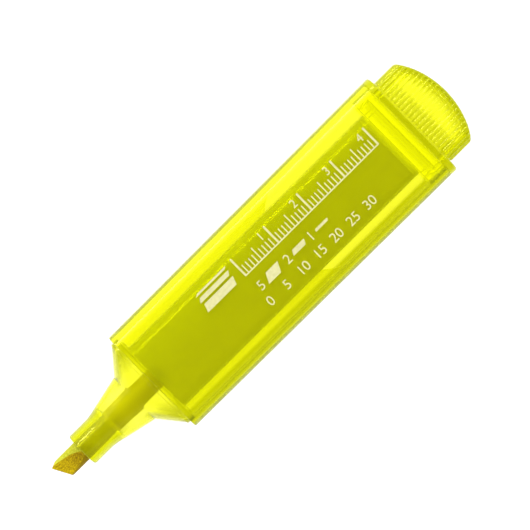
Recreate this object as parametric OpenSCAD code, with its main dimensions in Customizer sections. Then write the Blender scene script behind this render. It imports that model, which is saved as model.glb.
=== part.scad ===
// Flat-barrelled highlighter with its cap off, lying on a broad face.
// X runs along the pen, from the nib (-X) to the end plug (+X).
// Y is the width, Z the thickness. Millimetres. Z = 0 is the face it lies on.

/* [Whole pen] */
// Length from the tip of the nib to the top of the end plug
pen_len = 118; // [112:1:124]
// Thickness of the barrel between its two broad faces
pen_t = 15; // [14.5:0.5:17]

/* [Barrel] */
// Where the barrel starts, behind the tip of the nib
barrel_from = 28.8; // [28.8:0.1:29.6]
// Length of the barrel
barrel_len = 77.4; // [76.5:0.1:77.6]
// Width of the barrel at its front edge
barrel_w_front = 26.7; // [26:0.1:27.4]
// Width of the barrel at its rear edge, wider by the mould's draft
barrel_w_rear = 27.5; // [27:0.1:28.4]
// Radius of the four long edges
barrel_r = 3.6; // [3:0.1:4.5]
// Wall of the barrel
barrel_wall = 1.3; // [1.1:0.1:1.4]
// How far the side guide ribs reach back along the cavity
guide_len = 41.5; // [30:0.5:50]
// Thickness of a side guide rib
guide_t = 1.2; // [0.8:0.1:2]
// Length of the lead-in slope at the rear end of a guide rib
guide_slope = 4.6; // [2:0.1:8]

/* [Front section] */
// Diameter of the straight round tube that a cap's sleeve seals on
tube_d = 8.2; // [7.8:0.1:8.8]
// Length of the straight round tube
tube_len = 5.9; // [4:0.1:6.5]
// How far the tip of the nib stands out of the tube
nib_out = 7.4; // [6.5:0.1:8]
// Width of the cone where the flare starts
cone_w = 12.8; // [12:0.1:13.6]
// Thickness of the cone where the flare starts
cone_t = 10.6; // [9.8:0.1:11]
// Length of the cone behind the tube
cone_len = 10.2; // [9:0.1:11]
// Length of the solid front block that grips the nib
grip_len = 8.8; // [7:0.1:9.5]
// Wall of the hollow cone and flare behind the block
section_wall = 0.9; // [0.8:0.05:1]
// How far the base plate stands in from the barrel's outline
base_inset = 1.45; // [1.2:0.05:1.8]
// Thickness of the base plate, which a cap's mouth closes on
base_len = 0.8; // [0.6:0.1:1.2]
// Depth of the flange inside the barrel's mouth
flange_len = 1.25; // [1:0.05:2]

/* [Nib] */
// Diameter of the fibre rod
nib_d = 5; // [4.9:0.05:5]
// Radial clearance of the rod in its bore
nib_gap = 0.05; // [0.03:0.01:0.09]
// Angle of the writing edge from square across
edge_slant = 28; // [20:1:35]
// Thickness of the chisel at its writing face
edge_t = 2.4; // [1.8:0.1:3]
// Slope of each chisel facet
facet_slope = 13; // [10:0.5:16]
// How far the rod's rear end reaches into the ink core
nib_in_core = 1; // [0.5:0.1:2]

/* [Ink core] */
// Width of the fibre core
core_w = 17.1; // [16:0.1:17.4]
// Thickness of the fibre core
core_t = 11.2; // [10:0.1:11.6]
// Radius of the core's long edges
core_r = 3; // [2:0.1:4]
// Thickness of the film wrapped round the core
film_t = 0.15; // [0.1:0.05:0.2]
// How far the film stands past the core's rear end
film_over = 1.2; // [0.5:0.1:2]
// Gap between the film's rear end and the end plug
film_gap = 0.05; // [0.05:0.05:1]

/* [End plug] */
// Width of the ribbed grip
grip_w = 23.5; // [22.5:0.1:24]
// Thickness of the ribbed grip
grip_t = 11; // [10:0.1:11.4]
// Radius of the curved end
end_r = 21; // [20:0.5:24]
// Thickness of the plug's flange
plug_flange = 1.7; // [1.5:0.1:2]
// Depth of the skirt inside the barrel
skirt_len = 4.6; // [4:0.1:4.6]
// Wall of the plug
plug_wall = 1.2; // [1:0.1:1.3]
// Gap between the skirt and the barrel's wall
skirt_gap = 0.12; // [0.1:0.01:0.15]
// Height of the snap bead on the skirt
bead_h = 0.07; // [0.04:0.01:0.08]
// Spacing of the grip ribs
rib_pitch = 1.09; // [1:0.01:1.3]
// Height of the grip ribs
rib_h = 0.22; // [0.15:0.01:0.3]

/* [Hidden] */

CURVE = 96;         // sides of a circle in an exact solid
BLEND = 32;         // sides of a circle inside a hull
THIN = 0.01;        // thickness of a hull's end slices
CUT = 1;            // how far a cutter passes the surface it opens

tip_x = -pen_len / 2;
apex_x = pen_len / 2;
mid_z = pen_t / 2;

barrel_x0 = tip_x + barrel_from;
barrel_x1 = barrel_x0 + barrel_len;
cavity_r = barrel_r - barrel_wall;
cavity_t = pen_t - 2 * barrel_wall;

tube_x0 = tip_x + nib_out;
cone_x0 = tube_x0 + tube_len;
cone_x1 = cone_x0 + cone_len;
grip_x1 = tube_x0 + grip_len;
base_x0 = barrel_x0 - base_len;
flange_x1 = barrel_x0 + flange_len;
base_w = barrel_w_front - 2 * base_inset;
base_t = pen_t - 2 * base_inset;
base_r = barrel_r - 0.6;
mouth_chamfer = 0.3;

plug_x0 = barrel_x1;
skirt_x0 = plug_x0 - skirt_len;
dome_x0 = plug_x0 + plug_flange;
bead_x = plug_x0 - 1.75;
bead_len = 0.5;
grip_r = 3;
grip_body_w = grip_w - 2 * rib_h;
grip_body_t = grip_t - 2 * rib_h;
rib_w = 0.45;
rib_turn = 22.5;    // angle between ribs round a corner of the grip
seat_gap = 0.02;    // between the plug's flange and the barrel

core_x0 = flange_x1 + 0.05;
film_x1 = skirt_x0 - film_gap;
core_x1 = film_x1 - film_over;
nib_x1 = core_x0 + nib_in_core;
socket_gap = 0.1;   // round the nib's rear end
guide_gap = 0.1;    // between a guide rib and the film

// Width of the barrel's outline at a place along the pen
function barrel_w(x) = barrel_w_front
    + (barrel_w_rear - barrel_w_front) * (x - barrel_x0) / barrel_len;
// The same for the cavity
function cavity_w(x) = barrel_w(x) - 2 * barrel_wall;

// Upright outline of a flat pen: a rectangle with round corners
module outline(w, t, r) {
    square([w - 2 * r, t], center = true);
    square([w, t - 2 * r], center = true);
    for (sy = [-1, 1], sz = [-1, 1])
        translate([sy * (w / 2 - r), sz * (t / 2 - r)]) circle(r);
}

// A straight length of that outline, from x0 to x1 along the pen
module length_of(w, t, r, x0, x1) {
    translate([x0, 0, mid_z])
        rotate([90, 0, 90])
            linear_extrude(x1 - x0) outline(w, t, r, $fn = CURVE);
}

// A length whose outline changes evenly from one end to the other
module blend_of(w0, t0, r0, x0, w1, t1, r1, x1) {
    hull() {
        translate([x0, 0, mid_z]) rotate([90, 0, 90])
            linear_extrude(THIN) outline(w0, t0, r0, $fn = BLEND);
        translate([x1 - THIN, 0, mid_z]) rotate([90, 0, 90])
            linear_extrude(THIN) outline(w1, t1, r1, $fn = BLEND);
    }
}

// A round bar or bore along the pen
module round_bar(d, x0, x1, d1 = -1) {
    translate([x0, 0, mid_z]) rotate([0, 90, 0])
        cylinder(h = x1 - x0, d1 = d, d2 = d1 < 0 ? d : d1, $fn = CURVE);
}

// Shelf on a side wall that keeps the core in the middle, with a lead-in slope
module guide_rib(side) {
    x0 = flange_x1 + 0.3;
    x1 = x0 + guide_len;
    inner = core_w / 2 + film_t + guide_gap;
    root = barrel_wall / 4;             // how far the rib runs into the wall
    translate([0, 0, mid_z - guide_t / 2])
        linear_extrude(guide_t)
            polygon([
                [x0, side * inner],
                [x1, side * inner],
                [x1 + guide_slope, side * (cavity_w(x1) / 2 + root)],
                [x0, side * (cavity_w(x0) / 2 + root)]
            ]);
}

// One-piece moulded case, open at both ends
module barrel() {
    color([0.88, 0.88, 0.1, 0.55]) {
        difference() {
            blend_of(barrel_w(barrel_x0), pen_t, barrel_r, barrel_x0,
                     barrel_w(barrel_x1), pen_t, barrel_r, barrel_x1);
            blend_of(cavity_w(barrel_x0 - CUT), cavity_t, cavity_r, barrel_x0 - CUT,
                     cavity_w(barrel_x1 + CUT), cavity_t, cavity_r, barrel_x1 + CUT);
        }
        guide_rib(1);
        guide_rib(-1);
    }
}

// Holder for the nib: tube, cone, flare, base plate and the flange in the mouth
module front_section() {
    inner_t = base_t - 2 * section_wall;
    color([0.98, 0.98, 0.2, 0.6])
        difference() {
            union() {
                round_bar(tube_d, tube_x0 + mouth_chamfer, cone_x0 + CUT);
                round_bar(tube_d - 2 * mouth_chamfer, tube_x0,
                          tube_x0 + mouth_chamfer, tube_d);
                blend_of(tube_d, tube_d, tube_d / 2 - THIN, cone_x0,
                         cone_w, cone_t, cone_t / 2 - THIN, cone_x1);
                blend_of(cone_w, cone_t, cone_t / 2 - THIN, cone_x1,
                         base_w, base_t, base_r, base_x0);
                length_of(base_w, base_t, base_r, base_x0, barrel_x0);
                length_of(cavity_w(barrel_x0), cavity_t, cavity_r,
                          barrel_x0, flange_x1);
            }
            round_bar(nib_d + 2 * nib_gap, tube_x0 - CUT, grip_x1 + CUT);
            blend_of(tube_d - 0.4, tube_d - 0.6, tube_d / 2 - 0.4, grip_x1,
                     cone_w - 2 * section_wall, cone_t - 2 * section_wall,
                     cone_t / 2 - section_wall - THIN, cone_x1);
            blend_of(cone_w - 2 * section_wall, cone_t - 2 * section_wall,
                     cone_t / 2 - section_wall - THIN, cone_x1 - THIN,
                     base_w - 2 * section_wall, inner_t, base_r - section_wall,
                     base_x0 + 0.3);
            length_of(base_w - 2 * section_wall, inner_t, base_r - section_wall,
                      base_x0 + 0.3 - THIN, flange_x1 + CUT);
        }
}

// Chisel nib: a fibre rod cut to a slanted wedge at the front
module nib() {
    half = nib_d / 2;
    corner = 0.65;                      // cut off the acute corner
    corner_len = 1.6;
    back_x = tip_x + (nib_d - corner + CUT) * tan(edge_slant);
    reach = 14;                         // longer than the wedge
    deep = reach * tan(facet_slope);    // what a facet gains over that reach
    color([0.8, 0.66, 0.12])
        intersection() {
            round_bar(nib_d, tip_x - CUT, nib_x1);
            linear_extrude(pen_t)
                polygon([
                    [tip_x, half - corner],
                    [tip_x + corner_len, half + THIN],
                    [nib_x1 + CUT, half + CUT],
                    [nib_x1 + CUT, -half - CUT],
                    [back_x, -half - CUT]
                ]);
            translate([tip_x, half - corner, mid_z])
                rotate([0, 0, edge_slant])
                    translate([0, reach / 2, 0])
                        rotate([90, 0, 0])
                            linear_extrude(2 * reach)
                                polygon([
                                    [0, -edge_t / 2],
                                    [reach, -edge_t / 2 - deep],
                                    [3 * reach, -edge_t / 2 - deep],
                                    [3 * reach, edge_t / 2 + deep],
                                    [reach, edge_t / 2 + deep],
                                    [0, edge_t / 2]
                                ]);
        }
}

// Fibre block that holds the ink, with a socket for the rear end of the nib
module ink_core() {
    color([0.72, 0.73, 0.05])
        difference() {
            length_of(core_w, core_t, core_r, core_x0, core_x1);
            round_bar(nib_d + 2 * socket_gap, core_x0 - CUT, nib_x1 + socket_gap);
        }
}

// Plastic film wrapped round the core and left open at both ends
module core_film() {
    color([0.8, 0.84, 0.15, 0.5])
        difference() {
            length_of(core_w + 2 * film_t, core_t + 2 * film_t, core_r + film_t,
                      core_x0, film_x1);
            length_of(core_w, core_t, core_r, core_x0 - CUT, film_x1 + CUT);
        }
}

// Upright outline of the grip, with ribs at an even pitch all the way round
module ribbed_outline(w, t, r) {
    across = floor((w / 2 - r) / rib_pitch);
    up = floor((t / 2 - r) / rib_pitch);
    outline(w, t, r, $fn = CURVE);
    for (i = [-across:across])
        translate([i * rib_pitch, 0])
            square([rib_w, t + 2 * rib_h], center = true);
    for (i = [-up:up])
        translate([0, i * rib_pitch])
            square([w + 2 * rib_h, rib_w], center = true);
    for (my = [0, 1], mz = [0, 1], turn = [rib_turn:rib_turn:90 - rib_turn])
        mirror([my, 0, 0]) mirror([0, mz, 0])
            translate([w / 2 - r, t / 2 - r]) rotate(turn)
                translate([r - rib_w, -rib_w / 2])
                    square([rib_w + rib_h, rib_w]);
}

// Plan of the grip: straight sides closed by an arc
module plan(w, inset) {
    intersection() {
        translate([dome_x0 - CUT, -w / 2]) square([pen_len, w]);
        translate([apex_x - end_r, 0]) circle(end_r - inset, $fn = 2 * CURVE);
    }
}

// Plug that closes the rear: skirt with a snap bead, flange and ribbed grip
module end_plug() {
    skirt_w = cavity_w(skirt_x0) - 2 * skirt_gap;
    skirt_t = cavity_t - 2 * skirt_gap;
    skirt_r = cavity_r - skirt_gap;
    color([0.95, 0.95, 0.25, 0.6])
        difference() {
            union() {
                length_of(skirt_w, skirt_t, skirt_r, skirt_x0, plug_x0 + CUT);
                length_of(skirt_w + 2 * bead_h, skirt_t + 2 * bead_h,
                          skirt_r + bead_h, bead_x, bead_x + bead_len);
                length_of(barrel_w(barrel_x1), pen_t, barrel_r,
                          plug_x0 + seat_gap, dome_x0);
                intersection() {
                    translate([dome_x0 - THIN, 0, mid_z]) rotate([90, 0, 90])
                        linear_extrude(apex_x - dome_x0 + THIN)
                            ribbed_outline(grip_body_w, grip_body_t, grip_r);
                    linear_extrude(pen_t) plan(grip_w, 0);
                }
            }
            length_of(skirt_w - 2 * plug_wall, skirt_t - 2 * plug_wall,
                      skirt_r - plug_wall / 2, skirt_x0 - CUT, plug_x0);
            intersection() {
                length_of(grip_body_w - 2 * plug_wall, grip_body_t - 2 * plug_wall,
                          grip_r - plug_wall / 2, plug_x0 - THIN, apex_x);
                linear_extrude(pen_t) plan(grip_w, plug_wall);
            }
        }
}

barrel();
front_section();
nib();
ink_core();
core_film();
end_plug();
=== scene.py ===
import math

import bmesh
import bpy
from mathutils import Matrix, Vector, noise


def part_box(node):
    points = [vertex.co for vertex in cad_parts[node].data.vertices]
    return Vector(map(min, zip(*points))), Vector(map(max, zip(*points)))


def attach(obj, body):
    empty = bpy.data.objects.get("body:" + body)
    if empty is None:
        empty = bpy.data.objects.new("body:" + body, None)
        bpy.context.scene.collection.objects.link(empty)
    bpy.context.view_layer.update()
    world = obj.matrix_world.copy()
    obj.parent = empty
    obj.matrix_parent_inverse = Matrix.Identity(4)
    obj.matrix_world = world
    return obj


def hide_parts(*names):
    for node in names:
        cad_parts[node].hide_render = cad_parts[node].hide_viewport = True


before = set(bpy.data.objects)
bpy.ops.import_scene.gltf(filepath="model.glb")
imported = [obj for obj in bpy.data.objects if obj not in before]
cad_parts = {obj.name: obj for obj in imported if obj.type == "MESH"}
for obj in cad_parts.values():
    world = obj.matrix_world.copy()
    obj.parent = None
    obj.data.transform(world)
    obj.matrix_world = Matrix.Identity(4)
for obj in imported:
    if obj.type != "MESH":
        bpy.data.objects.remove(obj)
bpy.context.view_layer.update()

# ------------------------------------------------------------------ barrel
# The barrel is the pen's case: a flat tube of clear yellow plastic, moulded in one
# piece and open at both ends. A low shelf inside each narrow side keeps the ink core
# in the middle, and its rear end slopes to lead the core in.
MM = 0.001
case_low, case_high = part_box("barrel")
section_low, section_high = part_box("front_section")
core_low, core_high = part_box("ink_core")
film_low, film_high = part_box("core_film")

thick = case_high.z - case_low.z
mid_z = (case_high.z + case_low.z) / 2
rear_width = case_high.y - case_low.y
front_width = rear_width - 0.8 * MM
long_edge = 3.6 * MM
wall = 1.3 * MM
lip = 0.22 * MM
shelf_t = 1.2 * MM
shelf_from = section_high.x + 0.3 * MM
shelf_to = shelf_from + 41.5 * MM
shelf_slope = 4.6 * MM


def barrel_width(x):
    """Width of the case's outline, which grows towards the rear by the mould's draft."""
    part = (x - case_low.x) / (case_high.x - case_low.x)
    return front_width + (rear_width - front_width) * part


def once_round(quarter):
    """A whole outline from the quarter that runs from +Y up to +Z."""
    half = quarter + [(-y, z) for y, z in reversed(quarter[:-1])]
    return half + [(y, -z) for y, z in reversed(half[1:-1])]


def flat_outline(width, height, radius, side=(0, 1), top=(1, 0), turn=10):
    """A rectangle with round corners. side and top say where points lie on its flats."""
    a, b = width / 2 - radius, height / 2 - radius
    quarter = [(width / 2, b * f) for f in side]
    for k in range(1, turn):
        angle = math.pi / 2 * k / turn
        quarter.append((a + radius * math.cos(angle), b + radius * math.sin(angle)))
    quarter += [(a * f, height / 2) for f in top]
    return once_round(quarter)


def ring(x, points):
    """An outline put across the pen at x, which is a place or a function of y and z."""
    return [Vector((x(y, z) if callable(x) else x, y, mid_z + z)) for y, z in points]


def loft(name, rings, closed=False, sharp=40):
    """A piece whose skin runs through rings of points. A ring of one point is a pole."""
    shape = bmesh.new()
    made = [[shape.verts.new(p) for p in points] for points in rings]
    pairs = list(zip(made, made[1:] + made[:1])) if closed else list(zip(made, made[1:]))
    for here, there in pairs:
        count = max(len(here), len(there))
        for i in range(count):
            j = (i + 1) % count
            corners = [here[i % len(here)], here[j % len(here)]]
            corners += [there[j % len(there)], there[i % len(there)]]
            shape.faces.new(list(dict.fromkeys(corners)))
    bmesh.ops.recalc_face_normals(shape, faces=shape.faces)
    mesh = bpy.data.meshes.new(name)
    shape.to_mesh(mesh)
    shape.free()
    mesh.shade_smooth()
    mesh.set_sharp_from_angle(angle=math.radians(sharp))
    piece = bpy.data.objects.new(name, mesh)
    bpy.context.scene.collection.objects.link(piece)
    return piece


def rounded(x, depth, radius, start, steps=5):
    """Places along the pen and depths of a round edge of a wall, turning from start."""
    turned = []
    for k in range(steps + 1):
        angle = math.radians(start + 90 * k / steps)
        turned.append((x - radius * math.cos(angle), depth - radius * math.sin(angle)))
    return turned


def dress(piece, material):
    """Puts one material on a piece."""
    piece.data.materials.clear()
    piece.data.materials.append(material)


def socket(group, name, way, kind="NodeSocketFloat", value=None):
    """Gives a node group a named input or output."""
    made = group.interface.new_socket(name=name, in_out=way, socket_type=kind)
    if value is not None:
        made.default_value = value


def moulded_surface():
    """Node group: the faint waviness, sink and haze of a polished moulded face."""
    group = bpy.data.node_groups.new("moulded surface", "ShaderNodeTree")
    socket(group, "Wave Scale", "INPUT", value=60.0)
    socket(group, "Smooth", "INPUT", value=0.05)
    socket(group, "Hazy", "INPUT", value=0.12)
    socket(group, "Thin Colour", "INPUT", "NodeSocketColor", (1, 1, 0.3, 1))
    socket(group, "Deep Colour", "INPUT", "NodeSocketColor", (1, 1, 0.2, 1))
    socket(group, "Colour", "OUTPUT", "NodeSocketColor")
    socket(group, "Roughness", "OUTPUT")
    socket(group, "Height", "OUTPUT")
    make, link = group.nodes.new, group.links.new
    given, out = make("NodeGroupInput"), make("NodeGroupOutput")
    place = make("ShaderNodeTexCoord")
    flow = make("ShaderNodeMapping")
    flow.inputs["Scale"].default_value = (0.25, 1, 1)
    link(place.outputs["Object"], flow.inputs["Vector"])
    waves = make("ShaderNodeTexNoise")
    waves.inputs["Detail"].default_value = 3
    link(flow.outputs["Vector"], waves.inputs["Vector"])
    link(given.outputs["Wave Scale"], waves.inputs["Scale"])
    fine = make("ShaderNodeTexNoise")
    fine.inputs["Scale"].default_value = 2600
    fine.inputs["Detail"].default_value = 2
    link(place.outputs["Object"], fine.inputs["Vector"])
    # The mask "deep" brings in the deep colour: for thick plastic, and as painted shade on some
    # pieces.
    deep_and_shade_mask = make("ShaderNodeAttribute")
    deep_and_shade_mask.attribute_name = "deep"
    part = make("ShaderNodeMath")
    part.operation = "MULTIPLY_ADD"
    part.inputs[1].default_value = 0.12
    link(waves.outputs["Fac"], part.inputs[0])
    link(deep_and_shade_mask.outputs["Fac"], part.inputs[2])
    tone = make("ShaderNodeMix")
    tone.data_type = "RGBA"
    link(part.outputs["Value"], tone.inputs["Factor"])
    link(given.outputs["Thin Colour"], tone.inputs["A"])
    link(given.outputs["Deep Colour"], tone.inputs["B"])
    link(tone.outputs["Result"], out.inputs["Colour"])
    haze = make("ShaderNodeMapRange")
    link(fine.outputs["Fac"], haze.inputs["Value"])
    link(given.outputs["Smooth"], haze.inputs["To Min"])
    link(given.outputs["Hazy"], haze.inputs["To Max"])
    link(haze.outputs["Result"], out.inputs["Roughness"])
    both = make("ShaderNodeMath")
    both.operation = "MULTIPLY_ADD"
    both.inputs[1].default_value = 0.04
    link(fine.outputs["Fac"], both.inputs[0])
    link(waves.outputs["Fac"], both.inputs[2])
    link(both.outputs["Value"], out.inputs["Height"])
    return group


MOULDED = moulded_surface()


def clear_plastic(
    name,
    stain,
    thin=(1.0, 1.0, 0.8),
    deep=(0.50, 0.52, 0.02),
    clear=1.0,
    glow=0.04,
    wave=60.0,
    hazy=0.12,
):
    """Fluorescent see-through plastic: its dye tints what passes, and a faint painted glow
    stands in for its fluorescence.

    stain is the dye's colour and density. The mask "deep" takes thin over to deep, for thick
    plastic and for painted shade."""
    material = bpy.data.materials.new(name)
    material.use_nodes = True
    nodes, link = material.node_tree.nodes, material.node_tree.links.new
    shader = nodes["Principled BSDF"]
    shader.inputs["IOR"].default_value = 1.49
    shader.inputs["Transmission Weight"].default_value = clear
    shader.inputs["Specular IOR Level"].default_value = 0.25
    shader.inputs["Specular Tint"].default_value = (1.0, 1.0, 0.2, 1)
    # Painted light: an even glow that stands in for the dye's fluorescence.
    shader.inputs["Emission Strength"].default_value = glow
    face = nodes.new("ShaderNodeGroup")
    face.node_tree = MOULDED
    face.inputs["Wave Scale"].default_value = wave
    face.inputs["Hazy"].default_value = hazy
    face.inputs["Thin Colour"].default_value = (*thin, 1)
    face.inputs["Deep Colour"].default_value = (*deep, 1)
    link(face.outputs["Colour"], shader.inputs["Base Color"])
    shader.inputs["Emission Color"].default_value = (1.0, 1.0, 0.01, 1)
    link(face.outputs["Roughness"], shader.inputs["Roughness"])
    bump = nodes.new("ShaderNodeBump")
    bump.inputs["Strength"].default_value = 0.02
    bump.inputs["Distance"].default_value = 0.0002
    link(face.outputs["Height"], bump.inputs["Height"])
    link(bump.outputs["Normal"], shader.inputs["Normal"])
    dye = nodes.new("ShaderNodeVolumeAbsorption")
    dye.inputs["Color"].default_value = (*stain[0], 1)
    dye.inputs["Density"].default_value = stain[1]
    link(dye.outputs["Volume"], nodes["Material Output"].inputs["Volume"])
    return material


def mask(piece, name, value):
    """Keeps a mask in the piece's mesh. value gives it from a vertex's x, y and height."""
    kept = piece.data.attributes.new(name, "FLOAT", "POINT")
    for i, v in enumerate(piece.data.vertices):
        kept.data[i].value = value(v.co.x, v.co.y, v.co.z - mid_z)


def between(value, start, end):
    """0 at start, 1 at end, and even between them."""
    return max(0.0, min(1.0, (value - start) / (end - start)))


def barrel_ring(x, depth, shelf=0.0):
    """One ring of the case's wall, depth in from its outline, with the shelf's height."""
    edge = shelf_t / 2 / (thick / 2 - long_edge)
    side = (0, edge - 0.04, edge, edge + 0.01, 0.6, 0.96, 1)
    points = flat_outline(
        barrel_width(x) - 2 * depth,
        thick - 2 * depth,
        long_edge - depth,
        side,
        (1, 0.985, 0.6, 0.3, 0),
    )
    on_shelf = shelf_t / 2 + 0.001 * MM
    return ring(
        x,
        [
            (y - math.copysign(shelf, y), z)
            if shelf and abs(z) < on_shelf and abs(y) > barrel_width(x) / 3
            else (y, z)
            for y, z in points
        ],
    )


def shelf_height(x):
    """How far the shelf stands off the inner wall, so that it just clears the film."""
    return barrel_width(x) / 2 - wall - film_high.y - 0.1 * MM


def build_barrel():
    """The case's wall, once round from the outside through both mouths."""
    front, rear = case_low.x, case_high.x
    rings = [barrel_ring(x, d) for x, d in rounded(front + lip, lip, lip, 0)]
    rings += [barrel_ring(front + 0.6 * MM, 0), barrel_ring(rear - 0.6 * MM, 0)]
    rings += [barrel_ring(x, d) for x, d in rounded(rear - lip, lip, lip, 90)]
    rings += [barrel_ring(rear, wall - lip), barrel_ring(rear - lip, wall)]
    rings += [
        barrel_ring(shelf_to + shelf_slope, wall),
        barrel_ring(shelf_to, wall, shelf_height(shelf_to)),
        barrel_ring(shelf_from + 0.1 * MM, wall, shelf_height(shelf_from)),
        barrel_ring(shelf_from, wall),
        barrel_ring(front + lip, wall),
        barrel_ring(front, wall - lip),
    ]
    return loft("barrel_case", rings, closed=True)


barrel_dye = ((0.978, 0.98, 0.04), 1150.0)
barrel_plastic = clear_plastic("clear yellow barrel plastic", stain=barrel_dye)
case = build_barrel()
dress(case, barrel_plastic)


def case_depth(x, y, z):
    """Deeper colour over the shelves and round the long edges, with painted shade making the -Y
    side darker than the +Y side.
    """
    half = barrel_width(x) / 2
    if abs(z) < shelf_t / 2 + 0.01 * MM and abs(y) < half - wall - 0.5 * MM:
        return 0.5 if y < 0 else 0.25
    edge = between(abs(z), 3.0 * MM, 3.9 * MM)
    if y < 0:
        return 0.95 * edge * between(-y, half - 2.9 * MM, half - 2.0 * MM)
    return 0.35 * edge * between(y, half - 1.4 * MM, half - 0.6 * MM)


# The mask paints deeper colour on thick plastic, and painted shade on the -Y side.
mask(case, "deep", case_depth)
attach(case, "case")
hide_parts("barrel")

# ------------------------------------------------------------------ ink core
# The core is a flat block of fibres that run along the pen, soaked with ink. Its ends
# are cut square, and the nib's rear end is pushed into a hollow in the front one.
core_edge = 3.0 * MM
core_fillet = 0.5 * MM
socket_r = 2.6 * MM
socket_deep = 1.1 * MM


def fibre(name, dark, pale, along, across, rough, glow, overlays=()):
    """Ink-soaked fibre: fine streaks along the pen, with pores between them.

    Each overlay names a mask kept in the mesh, and the two tones that it brings in."""
    material = bpy.data.materials.new(name)
    material.use_nodes = True
    nodes, link = material.node_tree.nodes, material.node_tree.links.new
    shader = nodes["Principled BSDF"]
    shader.inputs["Roughness"].default_value = rough
    shader.inputs["Specular IOR Level"].default_value = 0.08
    place = nodes.new("ShaderNodeTexCoord")
    stretch = nodes.new("ShaderNodeMapping")
    stretch.inputs["Scale"].default_value = (along, across, across)
    link(place.outputs["Object"], stretch.inputs["Vector"])
    streak = nodes.new("ShaderNodeTexNoise")
    streak.inputs["Scale"].default_value = 1.0
    streak.inputs["Detail"].default_value = 6
    streak.inputs["Roughness"].default_value = 0.65
    link(stretch.outputs["Vector"], streak.inputs["Vector"])
    blotch = nodes.new("ShaderNodeTexNoise")
    blotch.inputs["Scale"].default_value = 90
    blotch.inputs["Detail"].default_value = 2
    link(place.outputs["Object"], blotch.inputs["Vector"])
    mixed = nodes.new("ShaderNodeMath")
    mixed.operation = "MULTIPLY_ADD"
    mixed.inputs[1].default_value = 0.4
    link(blotch.outputs["Fac"], mixed.inputs[0])
    link(streak.outputs["Fac"], mixed.inputs[2])

    def tones(low, high):
        ramp = nodes.new("ShaderNodeValToRGB")
        ramp.color_ramp.elements[0].position = 0.55
        ramp.color_ramp.elements[0].color = (*low, 1)
        ramp.color_ramp.elements[1].position = 0.86
        ramp.color_ramp.elements[1].color = (*high, 1)
        link(mixed.outputs["Value"], ramp.inputs["Fac"])
        return ramp.outputs["Color"]

    colour = tones(dark, pale)
    for mask_name, low, high in overlays:
        kept = nodes.new("ShaderNodeAttribute")
        kept.attribute_name = mask_name
        cover = nodes.new("ShaderNodeMix")
        cover.data_type = "RGBA"
        link(kept.outputs["Fac"], cover.inputs["Factor"])
        link(colour, cover.inputs["A"])
        link(tones(low, high), cover.inputs["B"])
        colour = cover.outputs["Result"]
    link(colour, shader.inputs["Base Color"])
    # Painted light: the fibre gives off a faint glow in its own colour, which brightens it and
    # stands in for the ink's fluorescence.
    link(colour, shader.inputs["Emission Color"])
    shader.inputs["Emission Strength"].default_value = glow
    bump = nodes.new("ShaderNodeBump")
    bump.inputs["Strength"].default_value = 0.6
    bump.inputs["Distance"].default_value = 0.0001
    link(streak.outputs["Fac"], bump.inputs["Height"])
    link(bump.outputs["Normal"], shader.inputs["Normal"])
    return material


def core_ring(x, depth):
    """One ring of the core, depth in from its outline."""
    height = core_high.z - core_low.z
    width = core_high.y - core_low.y
    return ring(
        x,
        flat_outline(
            width - 2 * depth,
            height - 2 * depth,
            core_edge - depth,
            (0, 0.5, 1),
            (1, 0.92, 0.8, 0.65, 0.5, 0.35, 0.2, 0),
        ),
    )


def round_like(outline_points, radius):
    """The same number of points on a circle, so that a skin can run on to a bore."""
    turned = []
    for p in outline_points:
        away = Vector((0, p.y, p.z - mid_z)).normalized() * radius
        turned.append(Vector((p.x, away.y, mid_z + away.z)))
    return turned


def moved(points, x):
    """A ring put at another place along the pen."""
    return [Vector((x, p.y, p.z)) for p in points]


def build_core():
    """The fibre block, from its rear end to the hollow for the nib."""
    rear, front = core_high.x, core_low.x
    rings = [[Vector((rear, 0, mid_z))]]
    rings += [
        moved([p.lerp(Vector((rear, 0, mid_z)), part) for p in core_ring(rear, 1.2 * MM)], rear)
        for part in (0.95, 0.7, 0.4)
    ]
    for x, depth in reversed(rounded(rear - core_fillet, core_fillet, core_fillet, 90)):
        rings.append(core_ring(x, depth))
    rings += [core_ring(front + x * MM, 0) for x in (9, 6, 4.5, 3.5, 2.7, 2, 1.4, 0.9)]
    for x, depth in reversed(rounded(front + core_fillet, core_fillet, core_fillet, 0)):
        rings.append(core_ring(x, depth))
    mouth = round_like(rings[-1], socket_r)
    rings += [mouth, moved(mouth, front + socket_deep)]
    rings.append([Vector((front + socket_deep, 0, mid_z))])
    return loft("ink_core_fibre", rings)


def paler_side(x, y, z):
    """Painted light: the core is paler towards its +Y side, where the light comes from."""
    return between(y, -2 * MM, 5.5 * MM)


def round_nib(x, y, z):
    """The core is painted darker round the nib's rear end."""
    return 1 - between(math.hypot(x - core_low.x, y), 1.5 * MM, 3.2 * MM)


core = build_core()
# Painted light on the core's +Y side.
mask(core, "lit", paler_side)
mask(core, "darker_round_nib", round_nib)
core_fibre = fibre(
    "ink-soaked core fibre",
    dark=(0.78, 0.765, 0.006),
    pale=(0.88, 0.86, 0.014),
    along=60,
    across=1800,
    rough=0.75,
    glow=0.175,
    overlays=(
        ("lit", (0.97, 0.99, 0.002), (1.0, 1.0, 0.006)),
        ("darker_round_nib", (0.52, 0.53, 0.0), (0.60, 0.61, 0.004)),
    ),
)
dress(core, core_fibre)
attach(core, "case")
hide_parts("ink_core")

# ------------------------------------------------------------------ core film
# A thin clear film is wrapped round the core. It is left open at both ends and stands
# past the rear end of the fibre.
film_t = 0.15 * MM
film_edge = core_edge + film_t


def film_ring(x, depth):
    """One ring of the film."""
    height = film_high.z - film_low.z
    width = film_high.y - film_low.y
    return ring(
        x,
        flat_outline(
            width - 2 * depth,
            height - 2 * depth,
            film_edge - depth,
            (0, 0.5, 1),
            (1, 0.97, 0.5, 0),
        ),
    )


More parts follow.
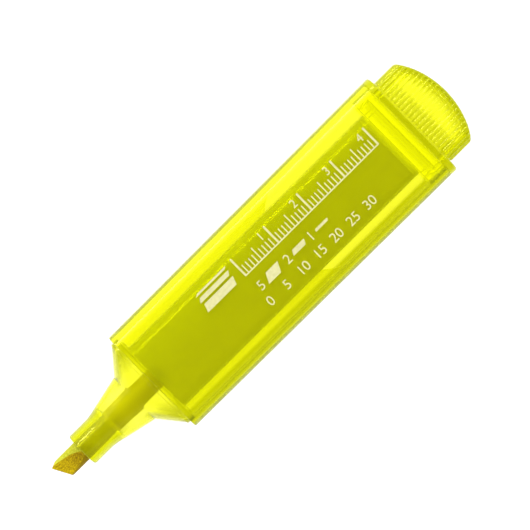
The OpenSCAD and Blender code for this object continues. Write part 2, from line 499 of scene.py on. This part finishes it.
gap = 0.02 * MM
film = loft(
    "core_film_wrap",
    [
        film_ring(film_low.x, 0),
        film_ring(film_high.x, 0),
        film_ring(film_high.x, film_t - gap),
        film_ring(film_low.x, film_t - gap),
    ],
    closed=True,
)
film_plastic = clear_plastic(
    "stained clear film",
    thin=(0.90, 0.93, 0.15),
    deep=(0.80, 0.86, 0.10),
    clear=0.75,
    glow=0.0,
    stain=((0.9, 0.93, 0.1), 300.0),
    wave=80.0,
    hazy=0.26,
)
dress(film, film_plastic)
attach(film, "case")
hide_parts("core_film")

# ------------------------------------------------------------------ front section
# The front section holds the nib. It is one moulding: a round tube, a cone, a flare
# that widens to the barrel, a base plate, and a flange fixed in the barrel's mouth.
tube_r = 4.1 * MM
nose_edge = 0.4 * MM
bore_r = 2.55 * MM
tube_end = section_low.x + 5.9 * MM
cone_end = tube_end + 10.2 * MM
block_end = section_low.x + 8.8 * MM
base_from = case_low.x - 0.8 * MM
shell = 0.9 * MM
flange_end = section_high.x
base_width, base_height, base_edge = front_width - 2.9 * MM, thick - 2.9 * MM, 3.0 * MM


def soft_sign(value):
    """-1 to 1, changing evenly round 0, so that flats and curves share their points."""
    return max(-1.0, min(1.0, value / 0.18))


def soft_outline(width, height, radius, count=96):
    """A round or flat-sided outline whose points lie at even turns of its normal."""
    a, b = width / 2 - radius, height / 2 - radius
    points = []
    for k in range(count):
        angle = 2 * math.pi * (k + 0.5) / count
        c, s = math.cos(angle), math.sin(angle)
        points.append((a * soft_sign(c) + radius * c, b * soft_sign(s) + radius * s))
    return points


def section_ring(x, width, height, radius):
    """One ring of the front section."""
    return ring(x, soft_outline(width, height, radius))


def section_size(x):
    """Width, height and edge radius of the section's outside at a place on cone or flare."""
    if x < cone_end:
        part = (x - tube_end) / (cone_end - tube_end)
        low, high = (2 * tube_r, 2 * tube_r, tube_r), (12.8 * MM, 10.6 * MM, 5.3 * MM)
    else:
        part = (x - cone_end) / (base_from - cone_end)
        low = (12.8 * MM, 10.6 * MM, 5.3 * MM)
        high = (base_width - 0.5 * MM, base_height - 0.3 * MM, base_edge)
    return [a + (b - a) * part for a, b in zip(low, high)]


def build_section():
    """The front section, from the nose over the outside, then back through the hollow."""
    nose = section_low.x
    rings = []
    for k in range(6):
        angle = math.pi / 2 * k / 5
        r = tube_r - nose_edge * (1 - math.sin(angle))
        rings.append(section_ring(nose + nose_edge * (1 - math.cos(angle)), 2 * r, 2 * r, r))
    for x in (nose + 1 * MM, tube_end - 0.4 * MM):
        rings.append(section_ring(x, 2 * tube_r, 2 * tube_r, tube_r))
    steps = 10
    for k in range(1, steps):
        rings.append(section_ring(*cone_place(tube_end, cone_end, k / steps)))
    for k in range(steps + 1):
        rings.append(section_ring(*cone_place(cone_end, base_from, k / steps)))
    plate = (base_width, base_height, base_edge)
    small = 0.12 * MM
    for x, inset in ((base_from, small), (base_from + small, 0), (case_low.x - small, 0)):
        rings.append(section_ring(x, *[v - 2 * inset for v in plate]))
    rings.append(section_ring(case_low.x, *plate))
    fitted = (front_width - 2 * wall, thick - 2 * wall, long_edge - wall)
    rings.append(section_ring(case_low.x, *[v - 0.02 * MM for v in fitted]))
    rings.append(section_ring(flange_end - small, *[v - 0.02 * MM for v in fitted]))
    rings.append(section_ring(flange_end, *[v - 2 * small for v in fitted]))
    rim = [v - 2 * shell for v in plate]
    rings.append(section_ring(flange_end, *rim))
    rings.append(section_ring(base_from + 0.5 * MM, *rim))
    for x in (base_from - 1.6 * MM, base_from - 3.2 * MM, cone_end, cone_end - 3.6 * MM):
        rings.append(section_ring(x, *[v - 2 * shell for v in section_size(x)]))
    rings.append(section_ring(block_end, *[v - 2 * shell for v in section_size(block_end)]))
    for x in (block_end, nose + 0.25 * MM):
        rings.append(section_ring(x, 2 * bore_r, 2 * bore_r, bore_r))
    mouth = bore_r + 0.25 * MM
    rings.append(section_ring(nose, 2 * mouth, 2 * mouth, mouth))
    return loft("nib_holder", rings, closed=True, sharp=34)


def cone_place(start, end, part):
    """A place between start and end, with the size of the section there."""
    x = start + (end - start) * part
    return (x, *section_size(x))


section_dye = ((0.974, 0.976, 0.03), 1700.0)
section_plastic = clear_plastic("clear yellow section plastic", stain=section_dye)
section = build_section()
dress(section, section_plastic)


def section_depth(x, y, z):
    """How deep the colour looks: block, base plate and the flare's sides."""
    if x > case_low.x - 0.05 * MM:
        return 0.62
    if x < block_end:
        return 0.55
    if x < cone_end:
        return 0.0
    out = abs(y) / (section_size(x)[0] / 2)
    return 0.55 * between(out, 0.57, 0.72) * between(out, 1.0, 0.88)


mask(section, "deep", section_depth)
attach(section, "case")
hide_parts("front_section")

# ------------------------------------------------------------------ nib
# The nib is a rod of fibres bonded under heat, with a firm pale skin. Its front is cut
# and ground to a slanted wedge, where the bare fibre shows dark with ink.
nib_low, nib_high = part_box("nib")
# Every ring of the nib has the same number of points, so that its skin runs on evenly.
NIB_POINTS = 160
rod_r = 2.5 * MM
slant = math.radians(28)
tip = Vector((nib_low.x, 1.85 * MM))
corner_slope = 1.6 / 0.65
edge_half = 1.2 * MM
facet_slope = math.tan(math.radians(13))
cut_to = section_low.x + 3 * MM
grip_fade = 1.0 * MM


def edge_place(y):
    """Where the writing face lies at a place across the nib."""
    if y > tip.y:
        return tip.x + (y - tip.y) * corner_slope
    return tip.x + (tip.y - y) * math.tan(slant)


def wedge_half(x, y):
    """Half the wedge's thickness there."""
    behind = (x - tip.x) * math.cos(slant) + (y - tip.y) * math.sin(slant)
    return edge_half + max(0.0, behind) * facet_slope


def nib_ring(part, radius):
    """One ring of the nib's front, part of the way from the writing face to the rod."""
    points = []
    for k in range(NIB_POINTS):
        angle = 2 * math.pi * (k + 0.5) / NIB_POINTS
        y, z = radius * math.cos(angle), radius * math.sin(angle)
        start = edge_place(y)
        x = start + (cut_to - start) * part
        limit = wedge_half(x, y)
        if abs(z) > limit:
            rough = noise.noise(Vector((x * 900, y * 9000, math.copysign(3, z))))
            rough += 0.6 * noise.noise(Vector((x * 3000, y * 22000, math.copysign(7, z))))
            z = math.copysign(limit - 0.035 * MM * abs(rough), z)
        points.append(Vector((x, y, mid_z + z)))
    return points


def build_nib():
    """The nib, from the middle of its writing face to its rear end in the core."""
    steps = 90
    rings = [[Vector((edge_place(0), 0, mid_z))]]
    rings += [nib_ring(0, rod_r * part) for part in (0.2, 0.4, 0.6, 0.8, 0.93)]
    rings += [nib_ring(k / steps, rod_r * min(1, 0.975 + 0.006 * k)) for k in range(steps + 1)]
    rear, worn = nib_high.x, 0.2 * MM
    straight = (block_end, block_end + grip_fade, rear - worn)
    for x, r in [(x, rod_r) for x in straight] + [(rear, rod_r - worn)]:
        rings.append(ring(x, soft_outline(2 * r, 2 * r, r, NIB_POINTS)))
    rings.append([Vector((rear, 0, mid_z))])
    return loft("chisel_nib", rings, sharp=50)


def skin_left(x, y, z):
    """The skin is ground away on the facets and on the writing face."""
    ground = math.hypot(y, z) < rod_r - 0.02 * MM and x < cut_to
    return 0.0 if ground or x < edge_place(y) + 0.05 * MM else 1.0


def lower_side(x, y, z):
    """Painted shade: a darker skin along the bare nib's -Y side, away from the light."""
    return skin_left(x, y, z) * between(-y, -0.4 * MM, 0.5 * MM) if x < section_low.x else 0.0


def in_block(x, y, z):
    """Where the clear block grips the rod."""
    return between(x, section_low.x, cut_to) * between(x, block_end + grip_fade, block_end)


def under_side(x, y, z):
    """Painted shade: a darker tone along the rod's -Y side within the section."""
    darker = between(y, 1.0 * MM, -0.6 * MM) * between(x, section_low.x, cut_to)
    return darker * (1 - in_block(x, y, z))


def in_section(x, y, z):
    """Painted light: the rod's part behind the section's nose is made paler, against the shade
    of the section round it.
    """
    return between(x, section_low.x - 0.1 * MM, section_low.x + 0.4 * MM)


nib = build_nib()
mask(nib, "skin", skin_left)
mask(nib, "lower", lower_side)
mask(nib, "inside", in_section)
# Painted light: where the block grips the rod, it is made paler still against the block's
# shade.
mask(nib, "block_painted_light", in_block)
mask(nib, "under", under_side)
nib_fibre = fibre(
    "bonded nib fibre",
    dark=(0.20, 0.12, 0.0),
    pale=(0.70, 0.52, 0.004),
    along=2400,
    across=6500,
    rough=0.6,
    glow=0.05,
    overlays=(
        ("skin", (0.31, 0.31, 0.008), (0.60, 0.62, 0.05)),
        # Painted shade on the bare nib's -Y side.
        ("lower", (0.34, 0.225, 0.0), (0.42, 0.285, 0.0)),
        # Painted light on the rod behind the section's nose.
        ("inside", (0.68, 0.64, 0.0), (0.76, 0.72, 0.002)),
        # Painted light where the block grips the rod.
        ("block_painted_light", (0.96, 0.90, 0.0), (1.0, 0.97, 0.002)),
        # Painted shade on the held rod's -Y side.
        ("under", (0.54, 0.50, 0.0), (0.62, 0.58, 0.002)),
    ),
)
dress(nib, nib_fibre)
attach(nib, "nib")
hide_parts("nib")

# ------------------------------------------------------------------ end plug
# The end plug closes the rear. It is one hollow moulding: a skirt with a snap bead
# inside the barrel, a flange flush with it, and a grip with ribs and a curved end.
plug_low, plug_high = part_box("end_plug")
RIBS = 57
RIB_POINTS = 10
grip_w, grip_h, grip_edge = 23.06 * MM, 10.56 * MM, 3.0 * MM
rib_rise = 0.22 * MM
end_r = 21 * MM
end_edge = 0.45 * MM
plug_wall = 1.2 * MM
flange_from = case_high.x + 0.02 * MM
flange_to = case_high.x + 1.7 * MM
end_centre = plug_high.x - end_r
root_from, root_to = 52.5 * MM, 52.9 * MM
root_tone = 0.22


def even_outline(width, height, radius, proud=None):
    """A rectangle with round corners, its points evenly spaced. proud gives their rise."""
    a, b = width / 2 - radius, height / 2 - radius
    lengths = [b, math.pi / 2 * radius, 2 * a, math.pi / 2 * radius, 2 * b]
    lengths += [math.pi / 2 * radius, 2 * a, math.pi / 2 * radius, b]
    total, count = sum(lengths), RIBS * RIB_POINTS
    points = []
    for k in range(count):
        s, part = total * (k + 0.5) / count, 0
        while s > lengths[part]:
            s -= lengths[part]
            part += 1
        turn = s / radius
        place, normal = (
            lambda: (Vector((a + radius, s)), Vector((1, 0))),
            lambda: (Vector((a, b)), Vector((math.cos(turn), math.sin(turn)))),
            lambda: (Vector((a - s, b + radius)), Vector((0, 1))),
            lambda: (Vector((-a, b)), Vector((-math.sin(turn), math.cos(turn)))),
            lambda: (Vector((-a - radius, b - s)), Vector((-1, 0))),
            lambda: (Vector((-a, -b)), Vector((-math.cos(turn), -math.sin(turn)))),
            lambda: (Vector((-a + s, -b - radius)), Vector((0, -1))),
            lambda: (Vector((a, -b)), Vector((math.sin(turn), -math.cos(turn)))),
            lambda: (Vector((a + radius, -b + s)), Vector((1, 0))),
        )[part]()
        if part in (1, 3, 5, 7):
            place = place + normal * radius
        if proud:
            place = place + normal * proud(k)
        points.append((place.x, place.y))
    return points


def rib(k):
    """How far the grip's surface stands proud at point k: a round rib, then a groove."""
    return rib_rise * max(0.0, math.sin(math.pi * (k % RIB_POINTS) / (RIB_POINTS - 3)))


def curved_end(radius):
    """Where the grip's end lies, as a function of the place across it."""
    return lambda y, z: end_centre + math.sqrt(max(0.0, radius**2 - y**2))


def build_plug():
    """The plug, from the middle of its hollow end over the skirt to its outer end."""
    inner = end_r - plug_wall
    hollow = (grip_w - 2 * plug_wall, grip_h - 2 * plug_wall, grip_edge - 0.6 * MM)
    rings = [[Vector((end_centre + inner, 0, mid_z))]]
    hollow_points = even_outline(*hollow)
    for part in (0.05, 0.2, 0.4, 0.6, 0.8, 0.93):
        rings.append(
            ring(curved_end(inner), [(y * part, z * part) for y, z in hollow_points])
        )
    ends = curved_end(inner - 0.25 * MM)
    rings.append(ring(ends, hollow_points))
    for part in (0.7, 0.4, 0.1):
        rings.append(
            ring(
                lambda y, z: flange_to + (ends(y, z) - flange_to) * part,
                hollow_points,
            )
        )
    sleeve_w = barrel_width(plug_low.x) - 2 * wall - 0.24 * MM
    sleeve = (sleeve_w, thick - 2 * wall - 0.24 * MM, long_edge - wall - 0.12 * MM)
    lined = (sleeve[0] - 2 * plug_wall, sleeve[1] - 2 * plug_wall, 1.5 * MM)
    rings.append(ring(flange_from, hollow_points))
    rings.append(ring(flange_from - 0.05 * MM, even_outline(*lined)))
    rings.append(ring(plug_low.x + 0.1 * MM, even_outline(*lined)))
    rings.append(ring(plug_low.x, even_outline(*[v + 0.2 * MM for v in lined])))
    rings.append(ring(plug_low.x, even_outline(*[v - 0.3 * MM for v in sleeve])))
    rings.append(ring(plug_low.x + 0.15 * MM, even_outline(*sleeve)))
    bead = case_high.x - 1.75 * MM
    for x, rise in ((0, 0), (0.12, 0.08), (0.25, 0.1), (0.38, 0.08), (0.5, 0)):
        rings.append(
            ring(bead + x * MM, even_outline(*[v + 2 * rise * MM for v in sleeve]))
        )
    rings.append(ring(flange_from, even_outline(*sleeve)))
    outside = (barrel_width(case_high.x), thick, long_edge)
    for x, depth in rounded(flange_from + lip, lip, lip, 0):
        rings.append(ring(x, even_outline(*[v - 2 * depth for v in outside])))
    soft = 0.5 * MM
    for x, depth in rounded(flange_to - soft, soft, soft, 90):
        rings.append(ring(x, even_outline(*[v - 2 * depth for v in outside])))
    grip = (grip_w, grip_h, grip_edge)
    for x, spread in ((0.0, 0.3), (0.1, 0.12), (0.3, 0.0)):
        rings.append(
            ring(flange_to + x * MM, even_outline(*[v + 2 * spread * MM for v in grip]))
        )
    ribbed = even_outline(*grip, proud=rib)
    start = flange_to + 0.6 * MM
    ends = curved_end(end_r)
    for k in range(33):
        rings.append(
            ring(
                lambda y, z: start + (ends(y, z) - end_edge * 1.3 - start) * k / 32,
                ribbed,
            )
        )
    for k in range(6):
        angle = math.pi / 2 * k / 5
        depth = end_edge * (1 - math.cos(angle))
        shrink = (1 - 2 * depth / grip_w, 1 - 2 * depth / grip_h)
        back = end_edge * (1 - math.sin(angle))
        rings.append(
            ring(
                lambda y, z: ends(y, z) - back,
                [(y * shrink[0], z * shrink[1]) for y, z in ribbed],
            )
        )
    face = [(y * shrink[0], z * shrink[1]) for y, z in ribbed]
    for part in (0.97, 0.85, 0.7, 0.5, 0.3, 0.12):
        rings.append(ring(ends, [(y * part, z * part) for y, z in face]))
    rings.append([Vector((plug_high.x, 0, mid_z))])
    return loft("ribbed_end_plug", rings, sharp=45)


def plug_depth(x, y, z):
    """Deeper colour over the flange, towards the grip's root and on walls seen edge-on; painted
    shade in the grooves between ribs and on the -Y side.
    """
    if x < flange_to + 0.55 * MM:
        return 0.5 * between(x, flange_from - 0.02 * MM, flange_from)
    edge_on = between(abs(y), grip_w / 2 - 2.2 * MM, grip_w / 2 - 1.4 * MM)
    end_wall = between(math.hypot(x - end_centre, y), end_r - 1.7 * MM, end_r - 1.3 * MM)
    root = root_tone * between(x, root_to, root_from)
    deep = max(0.75 * end_wall, root, (1.0 if y < 0 else 0.7) * edge_on)
    # Painted shade in the grooves between the ribs.
    if abs(z) > grip_h / 2 - 0.03 * MM:
        deep += (0.1 + 1.6 * root) * (1 - between(abs(z) - grip_h / 2, 0.0, rib_rise))
    return min(1.0, deep)


plug = build_plug()
plug_dye = ((0.986, 0.987, 0.03), 1400.0)
plug_plastic = clear_plastic("clear yellow plug plastic", stain=plug_dye)
dress(plug, plug_plastic)
mask(plug, "deep", plug_depth)
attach(plug, "plug")
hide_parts("end_plug")

# ------------------------------------------------------------------ print
# Pale ink is printed on the broad face: a four-centimetre rule, three slanted bars,
# sample strokes with their widths in millimetres, and a row of numbers from 0 to 30.
ink_t = 0.02 * MM
ink_z = case_high.z + 0.003 * MM
digit_share = 0.73
rule_from, rule_foot, rule_line = 0.3, 2.1, 0.3
ticks_from = 2.4
tall_tick, middle_tick, short_tick = 4.7, 3.3, 2.1
bar_widths, bar_places = (1.9, 1.0, 0.45), (0, 2.5, 4.1)
samples = ((0.4, "5", 2.3), (8.4, "2", 1.2), (15.4, "1", 0.6))
low_row, row_height = -6.4, 2.3


def bar(shape, corners):
    """A flat patch of ink with these corners, in millimetres, as a thin raised slab."""
    low = [shape.verts.new((x * MM, y * MM, ink_z)) for x, y in corners]
    high = [shape.verts.new((x * MM, y * MM, ink_z + ink_t)) for x, y in corners]
    shape.faces.new(high)
    shape.faces.new(low[::-1])
    for i in range(len(corners)):
        j = (i + 1) % len(corners)
        shape.faces.new((low[i], low[j], high[j], high[i]))


def box_bar(shape, x, y, width, height, lean=0.0):
    """A bar from its lower left corner. lean moves its top along."""
    bar(
        shape,
        [(x, y), (x + width, y), (x + width + lean, y + height), (x + lean, y + height)],
    )


def digits(shape, text, x, y, height, middle=False):
    """Numbers whose lower left corner, or lower middle, is at x and y, in millimetres."""
    writing = bpy.data.curves.new("number", "FONT")
    writing.body = text
    writing.size = height / digit_share * MM
    if middle:
        writing.align_x = "CENTER"
    writing.extrude = ink_t / 2
    written = bpy.data.objects.new("number", writing)
    flat = bpy.data.meshes.new_from_object(written)
    place = Matrix.Translation((x * MM, y * MM, ink_z + ink_t / 2))
    flat.transform(place)
    shape.from_mesh(flat)
    bpy.data.objects.remove(written)
    bpy.data.curves.remove(writing)
    bpy.data.meshes.remove(flat)


def build_print():
    """The whole print as one piece."""
    shape = bmesh.new()
    for k in range(41):
        tall = tall_tick if k % 10 == 0 else middle_tick if k % 5 == 0 else short_tick
        thick_tick = 0.45 if k % 10 == 0 else 0.28
        box_bar(shape, rule_from + k - 0.15, ticks_from, thick_tick, tall)
    box_bar(shape, 0.15, rule_foot, 40.45, rule_line)
    for k in range(1, 5):
        digits(shape, str(k), 10 * k - 1.6, 5.1, 2.0, middle=True)
    for k, width in enumerate(bar_widths):
        box_bar(shape, -11.0 + 0.2 * k, 2.3 + bar_places[k], 8.6, width, 0.7)
    for x, number, stroke in samples:
        digits(shape, number, x, -2.6, row_height)
        box_bar(shape, x + 2.2, -1.45 - stroke / 2, 3.6, stroke, stroke * 0.5)
    for k in range(7):
        digits(shape, str(5 * k), rule_from + 5 * k, low_row, row_height, middle=True)
    bmesh.ops.recalc_face_normals(shape, faces=shape.faces)
    mesh = bpy.data.meshes.new("printed_rule")
    shape.to_mesh(mesh)
    shape.free()
    piece = bpy.data.objects.new("printed_rule", mesh)
    bpy.context.scene.collection.objects.link(piece)
    return piece


def pale_ink(name):
    """Opaque pad-printed ink: matt, a little uneven in tone, with a fine grain."""
    material = bpy.data.materials.new(name)
    material.use_nodes = True
    nodes, link = material.node_tree.nodes, material.node_tree.links.new
    shader = nodes["Principled BSDF"]
    shader.inputs["Roughness"].default_value = 0.55
    shader.inputs["Specular IOR Level"].default_value = 0.3
    place = nodes.new("ShaderNodeTexCoord")
    grain = nodes.new("ShaderNodeTexNoise")
    grain.inputs["Scale"].default_value = 1500
    link(place.outputs["Object"], grain.inputs["Vector"])
    tone = nodes.new("ShaderNodeValToRGB")
    tone.color_ramp.elements[0].position = 0.3
    tone.color_ramp.elements[0].color = (0.58, 0.56, 0.27, 1)
    tone.color_ramp.elements[1].position = 0.7
    tone.color_ramp.elements[1].color = (0.68, 0.65, 0.33, 1)
    link(grain.outputs["Fac"], tone.inputs["Fac"])
    link(tone.outputs["Color"], shader.inputs["Base Color"])
    bump = nodes.new("ShaderNodeBump")
    bump.inputs["Strength"].default_value = 0.2
    bump.inputs["Distance"].default_value = 0.00005
    link(grain.outputs["Fac"], bump.inputs["Height"])
    link(bump.outputs["Normal"], shader.inputs["Normal"])
    return material


rule = build_print()
dress(rule, pale_ink("pale printing ink"))
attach(rule, "case")

# ------------------------------------------------------------------ table and light
# The pen lies on a white table that glows, which hides its shadow, in an uneven soft room.
# Rays that have come through plastic see an even grey instead of the room, and the camera
# sees a plain backdrop. A small panel draws the pale line along the +Y long edge.
table_r = 3.0
table_z = -0.1 * MM
table_glow = 0.9
room_strength = 2.1
through_plastic = (0.42, 0.42, 0.42, 1)
backdrop_white = (0.93, 0.93, 0.93, 1)


def white_paint(name):
    """A matt white sheet that gives off light of its own, very slightly uneven."""
    material = bpy.data.materials.new(name)
    material.use_nodes = True
    nodes, link = material.node_tree.nodes, material.node_tree.links.new
    shader = nodes["Principled BSDF"]
    shader.inputs["Roughness"].default_value = 0.9
    shader.inputs["Specular IOR Level"].default_value = 0.1
    shader.inputs["Emission Strength"].default_value = table_glow
    grain = nodes.new("ShaderNodeTexNoise")
    grain.inputs["Scale"].default_value = 40
    tone = nodes.new("ShaderNodeValToRGB")
    tone.color_ramp.elements[0].color = (0.30, 0.30, 0.30, 1)
    tone.color_ramp.elements[1].color = (0.32, 0.32, 0.32, 1)
    link(grain.outputs["Fac"], tone.inputs["Fac"])
    link(tone.outputs["Color"], shader.inputs["Base Color"])
    shader.inputs["Emission Color"].default_value = (1, 1, 1, 1)
    return material


turns = [k * math.pi / 32 for k in range(64)]
table_rim = [Vector((table_r * math.cos(t), table_r * math.sin(t), table_z)) for t in turns]
table = loft("table_top", [[Vector((0, 0, table_z))], table_rim])
dress(table, white_paint("matt white table"))

world = bpy.data.worlds.new("soft white room")
world.use_nodes = True
nodes, link = world.node_tree.nodes, world.node_tree.links.new
sky = nodes["Background"]
sky.inputs["Strength"].default_value = room_strength
place = nodes.new("ShaderNodeTexCoord")
parts = nodes.new("ShaderNodeSeparateXYZ")
link(place.outputs["Generated"], parts.inputs["Vector"])
# The room is brightest at middle height, dark overhead, and dimmer on the -Y side.
height = nodes.new("ShaderNodeValToRGB")
belt = ((0.0, 0.4), (0.2, 0.6), (0.35, 1.0), (0.80, 1.0), (0.93, 0.10), (1.0, 0.06))
for k, (sine, grey) in enumerate(belt):
    stops = height.color_ramp.elements
    stop = stops[0] if k == 0 else stops[-1] if sine == 1 else stops.new(sine)
    stop.position, stop.color = sine, (grey, grey, grey, 1)
link(parts.outputs["Z"], height.inputs["Fac"])
side = nodes.new("ShaderNodeMapRange")
side.inputs["From Min"].default_value = -0.6
side.inputs["From Max"].default_value = 0.1
side.inputs["To Min"].default_value = 0.3
link(parts.outputs["Y"], side.inputs["Value"])
light = nodes.new("ShaderNodeVectorMath")
light.operation = "SCALE"
link(height.outputs["Color"], light.inputs[0])
link(side.outputs["Result"], light.inputs["Scale"])
ray = nodes.new("ShaderNodeLightPath")
even = nodes.new("ShaderNodeMix")
even.data_type = "RGBA"
even.inputs["B"].default_value = through_plastic
link(ray.outputs["Is Transmission Ray"], even.inputs["Factor"])
link(light.outputs["Vector"], even.inputs["A"])
link(even.outputs["Result"], sky.inputs["Color"])
backdrop = nodes.new("ShaderNodeBackground")
backdrop.inputs["Color"].default_value = backdrop_white
seen = nodes.new("ShaderNodeMixShader")
link(ray.outputs["Is Camera Ray"], seen.inputs["Fac"])
link(sky.outputs["Background"], seen.inputs[1])
link(backdrop.outputs["Background"], seen.inputs[2])
link(seen.outputs["Shader"], nodes["World Output"].inputs["Surface"])
bpy.context.scene.world = world


def panel(name, place, size, power):
    """A soft light panel that faces the pen."""
    at = (0, 0, 7.5 * MM)
    light = bpy.data.lights.new(name, "AREA")
    light.shape = "RECTANGLE"
    light.size, light.size_y = size
    light.energy = power
    lamp = bpy.data.objects.new(name, light)
    lamp.location = place
    lamp.rotation_mode = "QUATERNION"
    lamp.rotation_quaternion = (Vector(at) - Vector(place)).to_track_quat("-Z", "Y")
    bpy.context.scene.collection.objects.link(lamp)


panel("side_panel", (0.0, 0.47, 0.38), (0.34, 0.10), 1.4)

# ------------------------------------------------------------------ camera
# The camera looks straight down on the broad face from far off, a little from the
# side of +Y, turned so that the pen points to the lower left.
scene = bpy.context.scene
aim = Vector((4.85 * MM, 0.56 * MM, mid_z))
tilt = math.radians(3)
distance = 0.75
picture_width = 114.96746 * MM
back = Vector((0, math.sin(tilt), math.cos(tilt)))
roll = math.radians(45.22)
upward = Vector((math.cos(roll), math.sin(roll), 0))
upward = (upward - back * upward.dot(back)).normalized()
right = upward.cross(back)
lens = bpy.data.cameras.new("camera")
lens.sensor_width = 36
lens.lens = lens.sensor_width * distance / picture_width
camera = bpy.data.objects.new("camera", lens)
camera.matrix_world = Matrix.Translation(aim + back * distance) @ Matrix(
    (right, upward, back)
).transposed().to_4x4()
scene.collection.objects.link(camera)
scene.camera = camera

scene.view_settings.view_transform = "Standard"
scene.cycles.max_bounces = 24
scene.cycles.transmission_bounces = 24
scene.cycles.glossy_bounces = 24
scene.cycles.transparent_max_bounces = 24
scene.cycles.use_denoising = True
